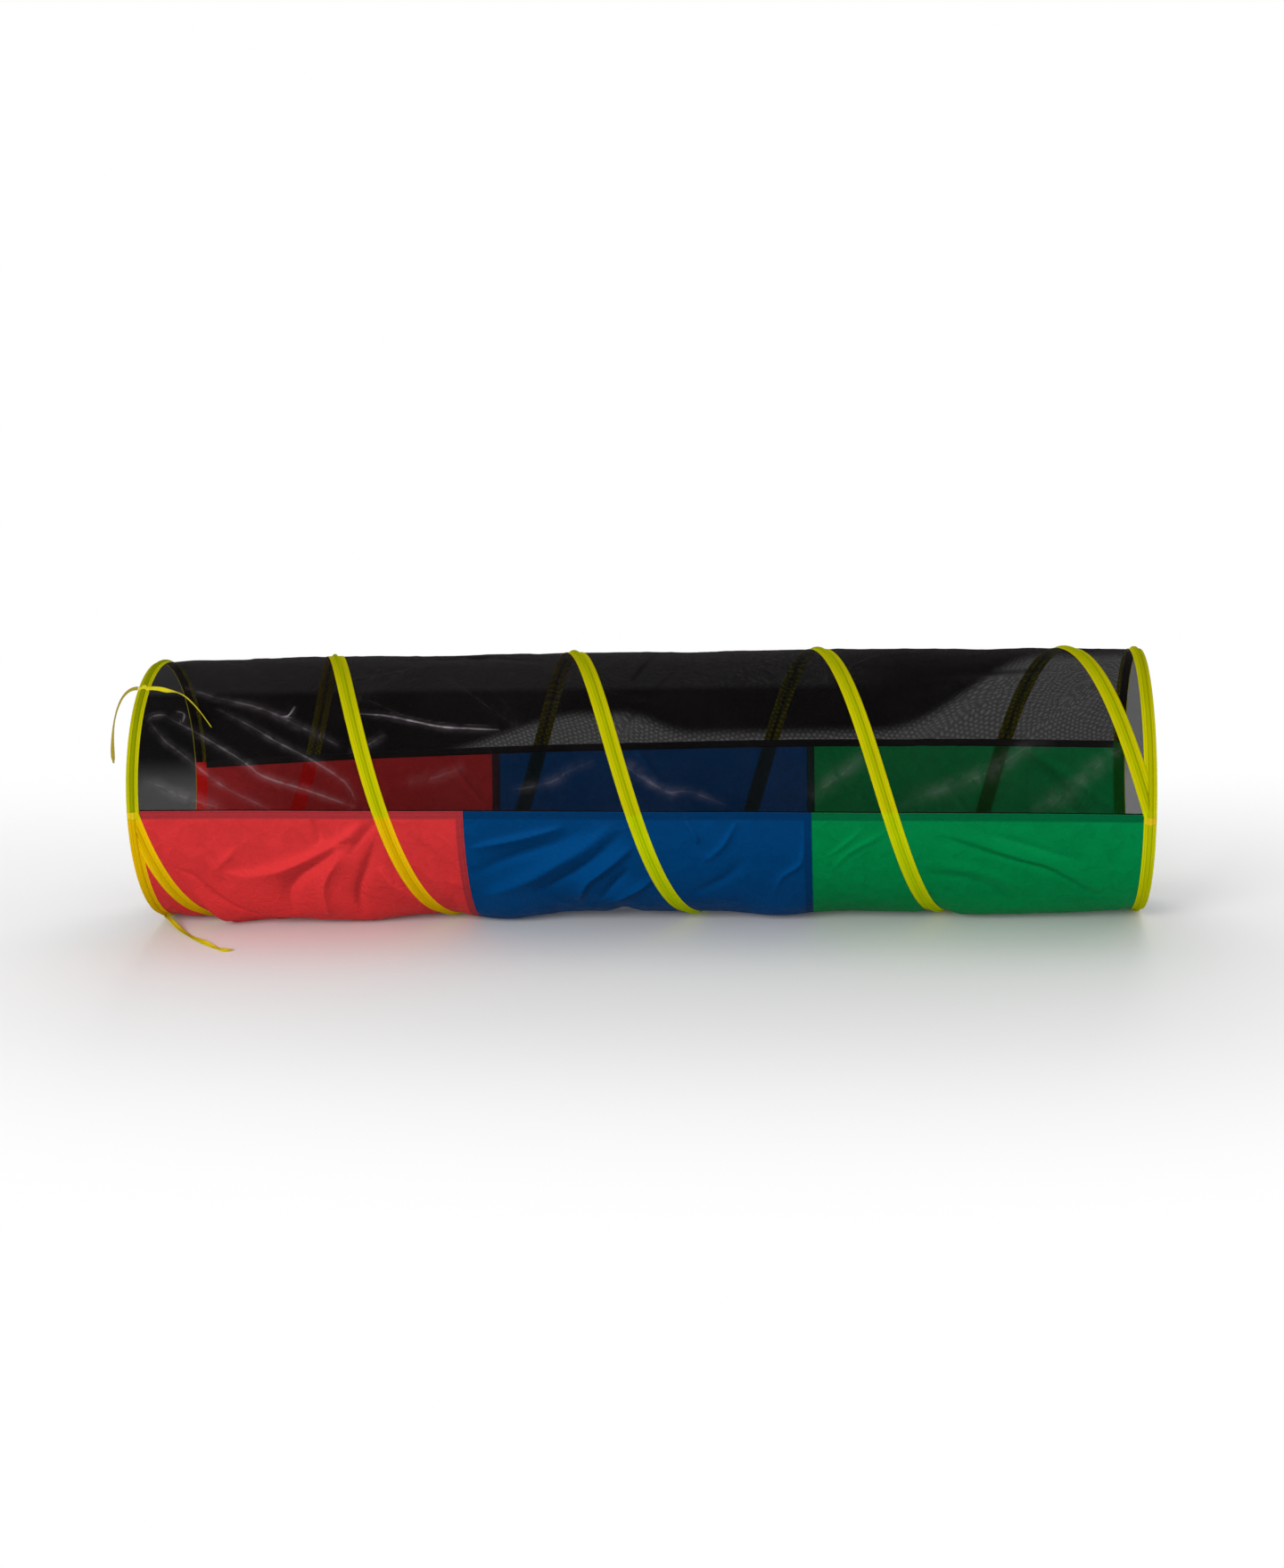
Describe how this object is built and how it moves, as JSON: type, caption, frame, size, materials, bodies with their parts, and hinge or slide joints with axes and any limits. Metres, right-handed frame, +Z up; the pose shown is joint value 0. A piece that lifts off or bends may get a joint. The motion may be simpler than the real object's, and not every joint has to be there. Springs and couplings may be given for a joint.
{
  "type": "play tunnel",
  "caption": "Round pop-up crawl tunnel: a sprung wire coil taped round a cloth sleeve with coloured floor panels and a mesh roof, which presses flat end to end.",
  "frame": {"origin": "on the floor, midway between the two ends and under the tunnel's axis", "axes": "+X along the tunnel towards its right end as the picture shows it, -Y towards the viewer, +Z up"},
  "size_m": [1.8575, 0.4987, 0.4784],
  "materials": {
    "spring_steel": "satin",
    "crimped_steel": "satin",
    "yellow_tape": "woven",
    "red_cloth": "woven",
    "blue_cloth": "woven",
    "green_cloth": "woven",
    "black_mesh": "open mesh",
    "black_strip": "woven",
    "tie_tape": "woven"
  },
  "bodies": {
    "left_end": {"left_hoop_wire": "spring_steel", "left_end_binding": "yellow_tape", "left_hoop_ferrule": "crimped_steel", "coil_wire": "spring_steel", "coil_tape": "yellow_tape", "mesh_roof": "black_mesh", "near_seam_strip": "black_strip", "far_seam_strip": "black_strip", "top_tie_tack": "tie_tape", "top_tie_outer_tail": "tie_tape", "top_tie_roof_tail": "tie_tape", "low_tie_tack": "tie_tape", "low_tie_tail": "tie_tape"},
    "right_end": {"right_hoop_wire": "spring_steel", "right_end_binding": "yellow_tape", "right_hoop_ferrule": "crimped_steel"},
    "red_bay": {"red_floor_panel": "red_cloth"},
    "blue_bay": {"blue_floor_panel": "blue_cloth", "red_blue_joint_strip": "black_strip", "blue_green_joint_strip": "black_strip"},
    "green_bay": {"green_floor_panel": "green_cloth"}
  },
  "joints": [
    {"name": "collapse", "type": "slide", "parent": "left_end", "child": "right_end", "axis": [-1, 0, 0], "range_m": [0, 1.734], "stiffness_N_per_m": 0.9, "springref_m": -1.2, "deforming": ["coil_wire", "coil_tape", "mesh_roof", "near_seam_strip", "far_seam_strip", "top_tie_roof_tail"]},
    {"name": "red_bay_slide", "type": "slide", "parent": "left_end", "child": "red_bay", "axis": [-1, 0, 0], "range_m": [0, 0.2745], "deforming": ["red_floor_panel"]},
    {"name": "blue_bay_slide", "type": "slide", "parent": "left_end", "child": "blue_bay", "axis": [-1, 0, 0], "range_m": [0, 0.867], "deforming": ["blue_floor_panel", "red_blue_joint_strip", "blue_green_joint_strip"]},
    {"name": "green_bay_slide", "type": "slide", "parent": "left_end", "child": "green_bay", "axis": [-1, 0, 0], "range_m": [0, 1.4595], "deforming": ["green_floor_panel"]}
  ],
  "couplings": [
    {"joint": "red_bay_slide", "follows": "collapse", "ratio": 0.1583},
    {"joint": "blue_bay_slide", "follows": "collapse", "ratio": 0.5},
    {"joint": "green_bay_slide", "follows": "collapse", "ratio": 0.8417}
  ]
}
